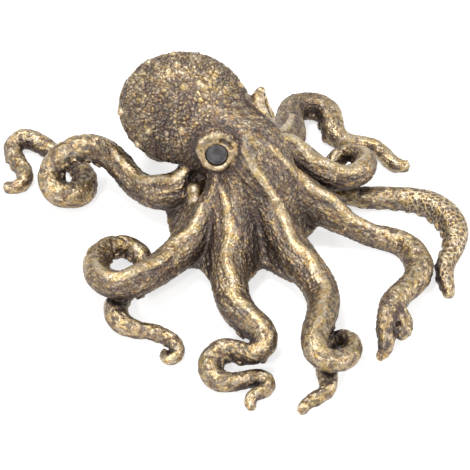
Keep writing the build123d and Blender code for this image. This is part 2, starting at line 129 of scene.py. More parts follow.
rear_left_arm_shares = thousandths(
    (10, 140, 140, 80), (9, 186, 100, 84), (-4, 236, 75, 77), (-29, 292, 52, 63), (-69, 346, 34, 52),
    (-121, 384, 0, 46), (-173, 368, 0, 40), (-193, 322, 0, 36), (-161, 287, 0, 33), (-120, 299, 0, 29),
    (-113, 331, 0, 22),
)
# The head, as a thick tube whose diameters are shares of the head's width
head_shares = thousandths(
    (-80, 200, 210, 900), (-47, 177, 212, 1080), (3, 138, 212, 1000), (41, 106, 195, 900),
    (69, 78, 155, 800), (87, 53, 106, 740), (95, 40, 70, 700),
)
# How far the web reaches, by degrees from +X
web_outline_shares = (
    (357, 0.150), (14, 0.180), (27, 0.180), (57, 0.196), (73, 0.235), (92, 0.170), (106, 0.205),
    (141, 0.175), (163, 0.185), (192, 0.178), (217, 0.215), (230, 0.182), (257, 0.220), (282, 0.140),
    (305, 0.225), (337, 0.132),
)
# The web at shares of its height: its size there as a share of the outline, and the place of its middle
web_level_shares = (
    (0.00, 0.92, 0.041, 0.055),
    (0.12, 1.00, 0.041, 0.055),
    (0.26, 0.82, 0.041, 0.058),
    (0.48, 0.60, 0.038, 0.070),
    (0.74, 0.40, 0.032, 0.092),
    (1.00, 0.26, 0.022, 0.112),
)
# The table of each arm, and the row at which it is joined to the body
arms = {
    "arm_left": (left_arm_shares, 4),
    "arm_left_front": (left_front_arm_shares, 4),
    "arm_front_left": (front_left_arm_shares, 5),
    "arm_front_right": (front_right_arm_shares, 6),
    "arm_right_front": (right_front_arm_shares, 6),
    "arm_right": (right_arm_shares, 5),
    "arm_rear_right": (rear_right_arm_shares, 3),
    "arm_rear_left": (rear_left_arm_shares, 3),
}
mantle_place_shares = (-0.105, 0.237, 0.208)
mantle_turn = 151  # degrees from +X to the direction in which the mantle points
mantle_droop = 23  # degrees
web_top_share = 0.225
web_side_slope = 0.75  # the web's sides lean, so that they lie nearer than a level measure says
# The middle of the mouth of each eye, and where it looks
eyes = {
    "eye_left": ((-0.030, 0.041, 0.248), (0.0, -0.92, 0.40)),
    "eye_right": ((0.082, 0.184, 0.256), (0.90, 0.10, 0.42)),
}
brow_reaches = {"eye_left": 3.55, "eye_right": 2.9}  # from the middle of the eye to its brow
siphon_place_shares = (-0.081, 0.058, 0.117)
siphon_direction = (-0.35, -0.85, 0.38)
siphon_width = 2.6
siphon_lobe_width = 2.8
# The lobes of the siphon across, up and out from its mouth, as shares of its width
siphon_lobe_shares = ((0.05, 0.34, 0.02), (0.28, -0.24, 0.20))

# The crests that run up the head from three of the arms
head_crest_shares = (
    thousandths((26, 54, 252, 6), (50, 30, 219, 12), (73, 15, 186, 14), (96, -2, 156, 16)),
    thousandths((82, 70, 246, 6), (108, 62, 213, 12), (136, 64, 172, 14)),
    thousandths((-22, 30, 163, 6), (-14, 8, 150, 12), (-8, -11, 142, 14)),
)
# The fold between the left arm and the head, and the hollows under the arch there
throat_fold_shares = thousandths(
    (-118, 112, 108, 30), (-98, 118, 133, 30), (-78, 122, 158, 32),
)
arch_shares = thousandths(
    (-74, 96, 136, 26), (-66, 83, 129, 38), (-58, 66, 117, 42), (-56, 48, 104, 30), (-50, 30, 88, 24),
)
arch_side_shares = thousandths(
    (-86, 84, 134, 28), (-90, 66, 120, 32), (-82, 44, 106, 28),
)

# Warts on the mantle, with their diameters
wart_shares = thousandths(
    (-100, 178, 322, 20), (-68, 186, 326, 16), (-58, 178, 322, 19), (-116, 240, 330, 18),
    (-177, 142, 226, 17), (-103, 117, 252, 19), (-238, 220, 211, 22), (-201, 168, 164, 20),
    (18, 223, 284, 18), (-124, 291, 313, 18), (-179, 288, 293, 18),
)

# The fold over each eye: places round the eye in degrees from the top, and how wide it is there
brow_turns = (-100, -75, -50, -28, -12, 8, 22, 38, 58, 80, 105)
brow_widths = (0.5, 1.0, 1.4, 1.2, 1.6, 1.7, 1.2, 1.5, 1.7, 1.2, 0.5)

# The suckers and the rod of leftover metal on the folded tip of the right front arm
tip_suckers = (
    ((0.352, -0.262, 0.048), 1.5),
    ((0.338, -0.236, 0.058), 1.1),
)
tip_rod_shares = thousandths(
    (356, -206, 68, 10), (372, -250, 62, 11),
)

# The row at which the crest along the top of each arm ends
crests = {
    "arm_left": 9,
    "arm_left_front": 9,
    "arm_front_left": 9,
    "arm_front_right": 11,
    "arm_right_front": 9,
    "arm_right": 9,
    "arm_rear_right": 3,
    "arm_rear_left": 6,
}

# How far the sucker side of an arm is turned from straight down to its left, in degrees, at a few rows
twists = {
    "arm_left": ((0, 0), (7, 0), (10, 35), (14, 60), (17, 75), (20, 60), (23, -30), (26, -40), (32, 0)),
    "arm_left_front": (
        (0, 0), (6, 0), (9, -45), (13, -50), (16, -20),
        (20, 30), (23, 0), (27, -50), (30, -60),
    ),
    "arm_front_left": ((0, 0), (8, -20), (10, -20), (12, 30), (15, 75), (18, 40), (21, -20), (26, 0)),
    "arm_front_right": ((0, 0), (9, 10), (12, 40), (16, 60), (19, 60), (22, 0), (28, 0)),
    "arm_right_front": (
        (0, 0), (11, -10), (13, -50), (16, -60),
        (17, -110), (18, -150), (20, -165), (23, -150),
    ),
    "arm_right": ((0, 0), (6, 20), (9, 45), (13, 45), (17, 0), (20, -20), (23, -50), (26, -40), (29, -20)),
    "arm_rear_right": ((0, 0), (4, -30), (7, -40), (9, -50), (11, -40), (13, 40), (16, 30), (19, 0)),
    "arm_rear_left": ((0, 0), (10, 0)),
}

# How fine the forms are worked out
points_per_row = 12
head_points_per_row = 4
fine_points_per_row = 8
shelter_cell = 0.6
metre = 1000  # millimetres

# The boxes in which the large forms lie
figure_box = ((-44, -41, -1), (44, 42, 32))
body_box = ((-26, -20, 0), (27, 34, 30))
mantle_box = ((-26, -2, 4), (10, 34, 32))
web_box = ((-22, -22, -1), (28, 30, 22))

# How wide the soft hollow is where a form runs into what is there
head_blend = 2.4
web_blend = 1.4
root_blend = 0.8
crest_blend = 0.9
head_crest_blend = 0.6
wart_blend = 0.35
fold_blend = 1.2
arch_blend = 0.9
keel_blend = 0.3
lobe_blend = 0.35

# The forms round an eye. A setback is measured back from the mouth of the eye.
turret_setback = 3.2
turret_inset = 0.2
turret_half_height = 2.4
turret_edge = 1.1
turret_blend = 1.2
ring_setback = 0.55
ring_room = 0.5
ring_radius = 0.56
ring_blend = 0.35
brow_setback = 0.7
brow_curl = 0.22
brow_share = 0.62
brow_blend = 0.5
knob_turn = 34  # degrees
knob_setback = 0.1
knob_room = 0.3
knob_radius = 0.85
knob_blend = 0.2
dimple_turns = (18, 32, 46, 60)  # degrees
dimple_setback = -0.12
dimple_inset = 0.75
dimple_radius = 0.42
bore_offsets = ((0.13, 0.10), (-0.16, -0.02), (0.02, -0.16))
bore_inset = 0.14
bore_half_depth = 1.15
sharp_edge = 0.15
inlay_setback = 0.95
inlay_half_height = 0.34
inlay_play = 0.05

# The keel and the suckers of an arm, as shares of its radius where nothing else is said
keel_share = 0.36
keel_width_share = 0.8
keel_rows = 2
first_sucker_row = 1.5  # rows past the joint
sucker_margin = 1.2
sucker_turn = 30  # degrees
sucker_turn_spread = 14  # degrees
sucker_share = 0.27
sucker_share_spread = 0.12
sucker_reach_share = 0.82
sucker_gap = 0.25
sucker_pitch = 1.75  # as a share of the sucker's own radius
cup_share = 0.55  # as a share of the sucker's own radius

# The crest along the top of an arm, with the rows over which it fades in and sinks
crest_start = 0.8
crest_fade_rows = (0.8, 2.0)
crest_end_rows = 2.5
crest_sink = 0.55
crest_lift = 0.3
crest_lift_rows = (3.5, 6.0)
crest_least = 0.3
crest_growth = 0.55
crest_wander = (0.15, 2.4)  # how far to the side, and how fast along the rows

# The skin: the sizes of its marks and the heights to which they rise
pebble_size = 0.85
pebble_height = 0.36
pebble_warp = 0.9
swell_size = 3.0
swell_height = 0.36
patch_size = 1.6
warp_size = 1.1
grain_size = 0.5
grain_warp = 0.6
lump_size = 1.5
lump_height = 0.22
spot_size = 0.55
spot_height = 0.09
wash_size = 4.0
net_size = 0.82
net_height = 0.11
small_size = 0.5
small_height = 0.03
curve_reach = 0.45
mantle_edge = (0.3, 4.5)
root_rows = (6.0, 10.0)
keel_shade_rows = (6.5, 8.5)
net_start_rows = (18.2, 19.4)
net_end_rows = (27.0, 28.5)
# How far the marks are stretched along, to the side of and across an arm
grain_stretch = (0.45, 1, 1)
lump_stretch = (0.7, 1, 1)
spot_stretch = (0.8, 1, 1)
net_stretch = (0.85, 1, 1)
pebble_stretch = (1, 1, 1.25)
# Size, stretch and share of each kind of streak near the head, with its draw
streaks = ((0.55, (0.16, 1, 1), 0.6, 41), (0.28, (0.3, 1, 1), 0.4, 42))
# Distances at which shelter is looked for, and how much each counts
shelter_probes = ((0.8, 0.25), (1.6, 0.35), (3.2, 0.4))

# How bright the brass is coloured, from 0 where the patina is whole to 1 where it is rubbed off.
# The gap weight is patina and painted shade, the upward weight is painted light, and the sucker side weight
# is painted shade.
pebble_wear = 0.48
patch_wear = 0.18
wash_wear = 0.1
gap_patina_and_shade = 0.36
ridge_wear = 0.3
upward_painted_light = 0.16
sucker_side_painted_shade = -0.2
crease_wear = -0.3
rim_shine = 0.72
wart_shine = 0.9
siphon_wear = 0.72
inlay_wear = 0.3

# Where the wear round an eye starts and ends, from its middle outwards and from its mouth back
rim_shift = 0.5
rim_edge = (3.3, 3.9)
rim_back = (-3.6, -2.4)
crease_start = (3.4, 3.9)
crease_end = (4.2, 5.4)
crease_back = (-6.0, -4.0)
crest_edge = (0.1, 0.45)
crest_flattening = 0.45

# The number that starts each pattern's random draws
draws = {
    "warp": (61, 62, 63), "pebble": 7, "grain": 3, "lump": 5, "spot": 12, "wash": 11, "swell": 15,
    "patch": 51, "net": 21, "sucker": 9, "small": 31,
}

# The lamps and the camera: places and sizes in metres, power in watts and the lens in millimetres
lamps = {
    "top_lamp": ((-0.10, 0.05, 0.45), 0.14, 1.0),
    "front_lamp": ((-0.25, -0.45, 0.40), 0.08, 1.2),
    "right_lamp": ((0.45, -0.05, 0.25), 0.07, 0.7),
}
camera_target = (0.00072, -0.00395, 0.008)
camera_distance = 0.48
camera_tilt = 45  # degrees from straight down
camera_lens = 214.35
surroundings_light = 0.55


def unit(vectors):
    """The same directions at a length of one."""
    vectors = np.asarray(vectors, float)
    return vectors / np.linalg.norm(vectors, axis=-1, keepdims=True)


def upright(ways):
    """The most upward direction at right angles to each direction."""
    return unit(np.array((0, 0, 1.0)) - ways * ways[..., 2:])


def lengths_along(points):
    """How far each point of a line lies from the first one, along the line."""
    return np.concatenate([[0], np.cumsum(np.linalg.norm(np.diff(points, axis=0), axis=1))])


def mixed(share, one, other):
    """One value by its share, and another by the rest."""
    return share * one + (1 - share) * other


def laid(table):
    """The rows of an arm in millimetres, with each one that lies on the table set down on its flat."""
    rows = table * span
    resting = rows[:, 2] == 0
    rows[resting, 2] = rows[resting, 3] / 2 - filed_flat
    return rows


def middle_line(rows, per_row):
    """Points, radii, directions and row places along the smooth middle line of a table."""
    last = len(rows) - 1
    rows = np.vstack([2 * rows[0] - rows[1], rows, 2 * rows[-1] - rows[-2]])
    place = np.linspace(0, last, last * per_row + 1)
    first = np.clip(place.astype(int), 0, len(rows) - 4)
    t = (place - first)[:, None]
    weights = (
        (1 - t) ** 3 / 6,
        (3 * t**3 - 6 * t**2 + 4) / 6,
        (1 + 3 * t + 3 * t**2 - 3 * t**3) / 6,
        t**3 / 6,
    )
    slopes = (-((1 - t) ** 2) / 2, (3 * t**2 - 4 * t) / 2, (1 + 2 * t - 3 * t**2) / 2, t**2 / 2)
    spots = sum(weight * rows[first + step] for step, weight in enumerate(weights))
    ways = sum(slope * rows[first + step] for step, slope in enumerate(slopes))
    return spots[:, :3], spots[:, 3] / 2, unit(ways[:, :3]), place


def part_of_line(line, start, end):
    """The stretch of a middle line between two rows."""
    points, radii, ways, places = line
    slack = 1e-6
    kept = (places >= start - slack) & (places <= end + slack)
    return points[kept], radii[kept], ways[kept], places[kept]


def joint_of(name):
    """The middle, radius and direction of the joint at which an arm meets the body."""
    points, radii, ways, _ = part_of_line(lines[name], arms[name][1], np.inf)
    return points[0], radii[0], ways[0]


class Field:
    """Distances to a surface on an even grid, below zero inside it."""

    def __init__(self, low, high, step, reach):
        self.step = step
        self.reach = reach
        self.low = np.floor(np.asarray(low) / step) * step
        shape = np.ceil((np.asarray(high) - self.low) / step).astype(int) + 1
        self.values = np.full(shape, reach, np.float32)

    def window(self, low, high):
        """The part of the grid that covers a box, and the places of its points along each axis."""
        first = np.clip(((low - self.low) / self.step).astype(int), 0, self.values.shape)
        last = np.clip(((high - self.low) / self.step).astype(int) + 2, 0, self.values.shape)
        part = tuple(slice(a, b) for a, b in zip(first, last))
        axes = (self.low[k] + self.step * np.arange(first[k], last[k], dtype=np.float32) for k in range(3))
        x, y, z = axes
        return part, x[:, None, None], y[None, :, None], z[None, None, :]

    def join(self, low, high, distance, blend=0.0, carve=False):
        """Adds a form to the piece, or carves it out, with a soft edge as wide as blend."""
        part, x, y, z = self.window(low, high)
        if min(len(x), y.shape[1], z.shape[2]) == 0:
            return
        old = self.values[part]
        new = distance(x, y, z).astype(np.float32)
        self.values[part] = -soft_least(-old, new, blend) if carve else soft_least(old, new, blend)

    def join_near(self, middle, reach, distance, blend=0.0, carve=False):
        """Adds or carves out a form within a cube about its middle."""
        self.join(middle - reach, middle + reach, distance, blend, carve)

    def tube(self, points, radii, blend=0.0):
        """Adds a round tube of changing width as one form."""
        room = radii.max() + self.reach
        inner = Field(points.min(0) - room, points.max(0) + room, self.step, self.reach)
        for a, b, ra, rb in zip(points[:-1], points[1:], radii[:-1], radii[1:]):
            near = max(ra, rb) + self.reach
            inner.join(np.minimum(a, b) - near, np.maximum(a, b) + near, capsule(a, b, ra, rb))
        start = np.round((inner.low - self.low) / self.step).astype(int)
        mine = tuple(
            slice(max(s, 0), max(min(s + n, m), 0))
            for s, n, m in zip(start, inner.values.shape, self.values.shape)
        )
        theirs = tuple(slice(m.start - s, m.stop - s) for m, s in zip(mine, start))
        self.values[mine] = soft_least(self.values[mine], inner.values[theirs], blend)

    def soften(self):
        """Rounds every edge by about the width of one step."""
        for axis in range(3):
            first, last = (np.take(self.values, [end], axis) for end in (0, -1))
            padded = np.concatenate([first, self.values, last], axis)
            size = self.values.shape[axis]
            low, mid, high = (np.take(padded, range(k, k + size), axis) for k in range(3))
            self.values = (low + 2 * mid + high) / 4

    def at(self, points):
        """The distance at any places, read between the points of the grid."""
        past_end = 1.001  # keeps a place at the far side within the last cell
        q = np.clip((points - self.low) / self.step, 0, np.array(self.values.shape) - past_end)
        i = q.astype(int)
        f = (q - i).astype(np.float32)
        total = 0
        for corner in np.ndindex(2, 2, 2):
            total = total + corner_weight(f, corner) * self.values[tuple((i + corner).T)]
        return total


def corner_weight(f, corner):
    """How much one corner of a cell counts at places within it."""
    dx, dy, dz = corner
    return abs(1 - dx - f[:, 0]) * abs(1 - dy - f[:, 1]) * abs(1 - dz - f[:, 2])


def soft_least(a, b, blend):
    """The lesser of two distances, rounded where they are nearly equal."""
    if blend == 0:
        return np.minimum(a, b)
    near = np.clip(blend - np.abs(a - b), 0, None) / blend
    return np.minimum(a, b) - near * near * blend / 4


def capsule(a, b, radius_a, radius_b):
    """The distance to a short round rod of changing width."""
    along = b - a
    length = max(along @ along, 1e-9)

    def distance(x, y, z):
        passed = (x - a[0]) * along[0] + (y - a[1]) * along[1] + (z - a[2]) * along[2]
        share = np.clip(passed / length, 0, 1)
        dx = x - a[0] - share * along[0]
        dy = y - a[1] - share * along[1]
        dz = z - a[2] - share * along[2]
        return np.sqrt(dx * dx + dy * dy + dz * dz) - radius_a - share * (radius_b - radius_a)

    return distance


def beyond(middle, direction):
    """How far a place lies past a plane."""

    def distance(x, y, z):
        dx, dy, dz = x - middle[0], y - middle[1], z - middle[2]
        return dx * direction[0] + dy * direction[1] + dz * direction[2]

    return distance


def ball(middle, radius):
    """The distance to a ball."""

    def distance(x, y, z):
        dx, dy, dz = x - middle[0], y - middle[1], z - middle[2]
        return np.sqrt(dx**2 + dy**2 + dz**2) - radius

    return distance


def drum(middle, axis, radius, half_height, edge):
    """The distance to a short round disc with a rounded edge."""

    def distance(x, y, z):
        dx, dy, dz = x - middle[0], y - middle[1], z - middle[2]
        along = np.abs(dx * axis[0] + dy * axis[1] + dz * axis[2]) - half_height + edge
        across = dx * dx + dy * dy + dz * dz - (along + half_height - edge) ** 2
        across = np.sqrt(np.maximum(across, 0)) - radius + edge
        outside = np.sqrt(np.maximum(along, 0) ** 2 + np.maximum(across, 0) ** 2)
        return outside + np.minimum(np.maximum(along, across), 0) - edge

    return distance


def mantle_distance(x, y, z):
    """The egg-shaped sack behind the head."""
    middle = np.array(mantle_place_shares) * span
    turn, droop = radians(mantle_turn), radians(mantle_droop)
    axis = (cos(turn) * cos(droop), sin(turn) * cos(droop), -sin(droop))
    dx, dy, dz = x - middle[0], y - middle[1], z - middle[2]
    along = dx * axis[0] + dy * axis[1] + dz * axis[2]
    across = dx * dx + dy * dy + dz * dz - along * along
    long, wide = mantle_length / 2, mantle_width / 2
    size = np.sqrt(along**2 / long**2 + across / wide**2)
    slope = np.sqrt(along**2 / long**4 + across / wide**4)
    return size * (size - 1) / np.maximum(slope, 1e-4)


def web_distance(x, y, z):
    """The skirt between the arms, from its underside up into the head."""
    height = web_top_share * span - web_underside
    rise = (z - web_underside) / height
    levels = np.array(web_level_shares)
    size, across, back = (np.interp(rise, levels[:, 0], levels[:, k]) for k in (1, 2, 3))
    dx, dy = x - across * span, y - back * span
    reach = web_reach(np.degrees(np.arctan2(dy, dx)))
    side = (np.sqrt(dx * dx + dy * dy) - reach * size * span) * web_side_slope
    return np.maximum(np.maximum(side, web_underside - z), z - web_top_share * span)


def web_reach(angle):
    """How far the web reaches at an angle, in smooth steps between the points of its outline."""
    outline = sorted((turn if turn <= 180 else turn - 360, reach) for turn, reach in web_outline_shares)
    turns = np.array([turn for turn, _ in outline])
    reaches = np.array([reach for _, reach in outline])
    turns = np.concatenate([turns[-1:] - 360, turns, turns[:1] + 360])
    reaches = np.concatenate([reaches[-1:], reaches, reaches[:1]])
    step = np.clip(np.searchsorted(turns, angle) - 1, 0, len(turns) - 2)
    share = (angle - turns[step]) / (turns[step + 1] - turns[step])
    share = (1 - np.cos(np.pi * share)) / 2
    return reaches[step] + share * (reaches[step + 1] - reaches[step])


def facing(shares, direction):
    """A place in millimetres and the direction in which it looks."""
    return np.array(shares) * span, unit(direction)


def eye_form(field, middle, out, brow_reach):
    """The turret of an eye, with a rounded, uneven ring round its bore and a thick, lumpy brow above."""
    above = upright(out)
    left = np.cross(above, out)
    rim, bore = eye_rim_width / 2, eye_bore / 2
    reach = rim + 5.0

    def around(turn, distance, setback):
        return middle - setback * out + distance * (cos(turn) * above + sin(turn) * left)

    turret = drum(middle - turret_setback * out, out, rim - turret_inset, turret_half_height, turret_edge)
    field.join_near(middle, reach, turret, turret_blend)
    turns = np.radians(np.arange(0, 361, 15))
    uneven = 0.07 * np.sin(2 * turns + 1) + 0.05 * np.sin(5 * turns)
    circle = [around(turn, bore + ring_room + more, ring_setback) for turn, more in zip(turns, uneven)]
    field.tube(np.array(circle), ring_radius + uneven, ring_blend)
    brow = [around(turn, brow_reach - brow_curl * turn**2, brow_setback) for turn in np.radians(brow_turns)]
    field.tube(np.array(brow), np.array(brow_widths) * brow_share, brow_blend)
    knob = around(radians(knob_turn), brow_reach + knob_room, knob_setback)
    field.join_near(knob, 2, ball(knob, knob_radius), knob_blend)
    for turn in np.radians(dimple_turns):
        dimple = around(turn, brow_reach - dimple_inset, dimple_setback)
        field.join_near(dimple, 2, ball(dimple, dimple_radius), sharp_edge, carve=True)
    for aside, up in bore_offsets:
        seat = middle + aside * left + up * above
        form = drum(seat, out, bore - bore_inset, bore_half_depth, sharp_edge)
        field.join_near(seat, reach, form, sharp_edge, carve=True)


def surface(name, field, skin):
    """A mesh object on the zero of a field, with its skin raised by the amounts that a function gives."""
    grid = openvdb.FloatGrid(float(field.reach))
    grid.copyFromArray(np.ascontiguousarray(field.values))
    points, quads = grid.convertToQuads()
    points = points * field.step + field.low
    normals = normals_of(points, quads)
    half_step = 0.5 * field.step
    outward = field.at(points + half_step * normals) - field.at(points - half_step * normals)
    if np.median(outward) < 0:
        normals = -normals
        quads = quads[:, ::-1]
    raised, lightness = skin(points, normals, curvature(field, points))
    points = points + normals * raised[:, None]
    points[:, 2] = np.maximum(points[:, 2], 0)
    mesh = bpy.data.meshes.new(name)
    mesh.vertices.add(len(points))
    mesh.vertices.foreach_set("co", (points / metre).astype(np.float32).ravel())
    mesh.loops.add(quads.size)
    mesh.loops.foreach_set("vertex_index", quads.astype(np.int32).ravel())
    mesh.polygons.add(len(quads))
    mesh.polygons.foreach_set("loop_start", np.arange(0, quads.size, 4, dtype=np.int32))
    mesh.polygons.foreach_set("use_smooth", np.ones(len(quads), bool))
    mesh.update(calc_edges=True)
    mesh.validate()
    mesh.attributes.new("lightness", "FLOAT", "POINT").data.foreach_set("value", lightness.astype(np.float32))
    piece = bpy.data.objects.new(name, mesh)
    bpy.context.collection.objects.link(piece)
    return piece


def normals_of(points, quads):
    """The direction of the surface at each point, from the faces round it."""
    corners = points[quads]
    face = np.cross(corners[:, 2] - corners[:, 0], corners[:, 3] - corners[:, 1])
    sums = [sum(np.bincount(quads[:, c], face[:, k], len(points)) for c in range(4)) for k in range(3)]
    return unit(np.stack(sums, 1) + 1e-12)


def curvature(field, points):
    """Above zero on the ridges and knobs of a form, and below zero in its grooves, per millimetre."""
    steps = curve_reach * np.eye(3)
    around = sum(field.at(points + step) + field.at(points - step) for step in steps)
    return 3 * (around / 6 - field.at(points)) / curve_reach**2


def scrambled(x, y, z, draw):
    """Three even random shares for each place of a whole-numbered grid, always the same ones."""
    mixture = (x * 374761393 + y * 668265263 + z * 1274126177 + draw * 974634777).astype(np.uint32)
    mixture = (mixture ^ (mixture >> 15)) * np.uint32(2246822519)
    mixture = (mixture ^ (mixture >> 13)) * np.uint32(3266489917)
    mixture = mixture ^ (mixture >> 16)
    return (mixture & 1023) / 1023, (mixture >> 10 & 1023) / 1023, (mixture >> 20 & 1023) / 1023


def pebbles(points, size, draw):
    """For each point, how far inside its own rounded cell it lies, and a random share for that cell."""
    q = points / size
    base = np.floor(q).astype(np.int64)
    nearest = np.full(len(q), 9.0)
    second = np.full(len(q), 9.0)
    own = np.zeros(len(q))
    for dx, dy, dz in np.ndindex(3, 3, 3):
        x, y, z = base[:, 0] + dx - 1, base[:, 1] + dy - 1, base[:, 2] + dz - 1
        a, b, c = scrambled(x, y, z, draw)
        gap = np.sqrt((x + a - q[:, 0]) ** 2 + (y + b - q[:, 1]) ** 2 + (z + c - q[:, 2]) ** 2)
        closer = gap < nearest
        second = np.where(closer, nearest, np.minimum(second, gap))
        own = np.where(closer, (a + b + c) % 1, own)
        nearest = np.minimum(nearest, gap)
    return second - nearest, own


def domes(points, size, edge, draw):
    """Rounded bumps from 0 to 1.2, each of its own height, with narrow gaps between them."""
    inside, own = pebbles(points, size, draw)
    return ramp(inside, 0.0, edge) * (0.6 + 0.6 * own)


def drift(points, size, draw):
    """Smooth random values from 0 to 1 that change over about a given length."""
    q = points / size
    base = np.floor(q).astype(np.int64)
    f = q - base
    f = f * f * (3 - 2 * f)
    total = 0
    for corner in np.ndindex(2, 2, 2):
        value = scrambled(*(base + corner).T, draw)[0]
        total = total + value * corner_weight(f, corner)
    return total


def ramp(values, low, high):
    """Values from low to high as smooth shares from 0 to 1."""
    t = np.clip((values - low) / (high - low), 0, 1)
    return t * t * (3 - 2 * t)


def whole_field():
    """A coarse field of the whole figure, from which the shelter of each place is worked out."""
    coarse = Field(*figure_box, shelter_cell, 4.0)
    for points, radii, _, _ in lines.values():
        coarse.tube(points[::4], radii[::4])
    coarse.tube(head_line[0], head_line[1])
    coarse.join(*np.array(mantle_box), mantle_distance)
    coarse.join(*np.array(web_box), web_distance)
    return coarse


def openness(points, normals):
    """1 where nothing stands near a place on the skin, falling towards 0 in the deepest gaps."""
    total = 0
    for reach, weight in shelter_probes:
        total = total + weight * np.clip(whole.at(points + normals * reach) / reach, 0, 1)
    return total


def nearest_arm(names, points):
    """For each point, its place beside the nearest middle line.

    That is the row, the sucker side, and the lengths along, to the side and across.
    """
    best = np.full(len(points), 1e9)
    place = np.zeros(len(points))
    side = np.zeros((len(points), 3))
    local = np.zeros((len(points), 3))
    for number, name in enumerate(names):
        middles, _, ways, places = (values[::3] for values in lines[name])
        sides = sucker_sides(name, ways, places)
        travelled = lengths_along(middles)
        for i, middle in enumerate(middles):
            offset = points - middle
            gap = (offset**2).sum(1)
            closer = gap < best
            offset = offset[closer]
            best[closer] = gap[closer]
            place[closer] = places[i]
            side[closer] = sides[i]
            across = offset @ sides[i], offset @ np.cross(ways[i], sides[i]) + span * number
            local[closer] = np.stack([travelled[i] + offset @ ways[i], *across], 1)
    return place, side, local


def cast_skin(name):
    """The skin of a brass piece: how high each place is raised, and how bright it is coloured: rubbed
    bright or patinated, with painted shade in the gaps and on the sucker side, and painted light on
    upward-facing skin.
    """

    def skin(points, normals, bulge):
        place, side, local = nearest_arm(arms if name == "body" else [name], points)
        sack = 1 - ramp(mantle_distance(*points.T), *mantle_edge)
        root = 1 - ramp(place, *root_rows)
        waves = np.stack([drift(points, warp_size, draw) for draw in draws["warp"]], 1)
        grain = domes((local + grain_warp * waves) * grain_stretch, grain_size, 0.32, draws["grain"])
        spot = ramp(drift(local * spot_stretch, spot_size, draws["spot"]), 0.38, 0.54)
        wash = drift(points, wash_size, draws["wash"])
        raised, brightness = arm_skin(local, root, grain, spot, wash)
        sack_raised, sack_wear = mantle_skin(points, waves)
        raised = mixed(sack, sack_raised, raised)
        brightness = mixed(sack, sack_wear, brightness)
        if name == "arm_right":
            raised, brightness = netted(local, place, raised, brightness)
        shine, plain, crease = polished_parts(points)
        clear = openness(points, normals)
        # Sheltered gaps are coloured darker: partly the patina that gathers there, partly painted shade.
        brightness = brightness + wash_wear * (wash - 0.45) + gap_patina_and_shade * (clear - 0.8)
        # Painted light: upward-facing skin is coloured lighter and the flanks darker, as if lit from above.
        brightness = brightness + ridge_wear * np.clip(bulge - 0.2, -0.9, 0.7) + upward_painted_light * (normals[:, 2] - 0.35)
        # Painted shade: the sucker side of an arm is coloured darker past the root rows.
        if name != "body":
            under = ramp((normals * side).sum(1), 0.15, 0.75) * ramp(place, *keel_shade_rows)
            brightness = brightness + sucker_side_painted_shade * under
        brightness = brightness + crease_wear * crease
        rubbed = 0.54 + 0.16 * spot + 0.14 * grain + 0.4 * np.clip(bulge, -1, 0.3)
        brightness = np.clip(mixed(shine, rubbed, brightness), 0, 1)
        # Deep gaps are coloured darker still, as patina and painted shade.
        return raised * (1 - plain), brightness * mixed(ramp(clear, -0.1, 0.5), 1.0, 0.4)

    return skin


def mantle_skin(points, waves):
    """The heights and the wear of the pebbled sack."""
    warped = (points + pebble_warp * waves) * pebble_stretch
    pebble = domes(warped, pebble_size, 0.3, draws["pebble"])
    swell = drift(points, swell_size, draws["swell"])
    patch = ramp(drift(points, patch_size, draws["patch"]), 0.3, 0.7)
    raised = pebble_height * (pebble - 0.5) + swell_height * (swell - 0.5)
    return raised, pebble_wear * pebble + patch_wear * patch


def arm_skin(local, root, grain, spot, wash):
    """The heights and the wear of an arm: cracks and streaks near the head, and soft spots further out."""
    lump = ramp(pebbles(local * lump_stretch, lump_size, draws["lump"])[0], 0.0, 0.6)
    streak = sum(share * drift(local * stretch, size, draw) for size, stretch, share, draw in streaks)
    near_head = 0.14 * (grain - 0.6) + 0.34 * (streak - 0.5)
    far_out = 0.07 * (grain - 0.6) + lump_height * (lump - 0.5) * wash + spot_height * (spot - 0.5)
    raised = mixed(root, near_head, far_out)
    near_head = 0.08 + 0.34 * grain + 0.8 * (streak - 0.42)
    far_out = 0.16 + 0.34 * spot + 0.16 * grain
    return raised, mixed(root, near_head, far_out)


def netted(local, place, raised, brightness):
    """The skin of the right arm, with the net of thin cords on its outer bend."""
    inside, _ = pebbles(local * net_stretch, net_size, draws["net"])
    there = ramp(place, *net_start_rows) * (1 - ramp(place, *net_end_rows))
    cord = 1 - ramp(inside, 0.05, 0.34)
    return mixed(there, net_height * (cord - 0.45), raised), mixed(there, 0.12 + 0.62 * cord, brightness)


def polished_parts(points):
    """How far each place is rubbed bright and smooth, and how far it lies in the crease round an eye."""
    shine, plain, crease = np.zeros((3, len(points)))
    for shares, direction in eyes.values():
        rim, dark = eye_wear(points, *facing(shares, direction))
        shine = np.maximum(shine, rim_shine * rim)
        plain = np.maximum(plain, rim)
        crease = np.maximum(crease, dark)
    for x, y, z, width in wart_shares * span:
        gap = np.sqrt(((points - (x, y, z)) ** 2).sum(1))
        knob = 1 - ramp(gap, 0.5 * width, 0.8 * width)
        shine = np.maximum(shine, wart_shine * knob)
        plain = np.maximum(plain, knob)
    for middles, widths in [crest_line(name) for name in arms] + head_crests():
        near = np.full(len(points), 9.0)
        for middle, width in zip(middles[::2], widths[::2]):
            flattened = (points - middle) * (1, 1, crest_flattening)
            near = np.minimum(near, np.sqrt((flattened**2).sum(1)) - width)
        ridge = 1 - ramp(near, *crest_edge)
        shine = np.maximum(shine, ridge)
        plain = np.maximum(plain, 0.5 * ridge)
    return shine, plain, crease


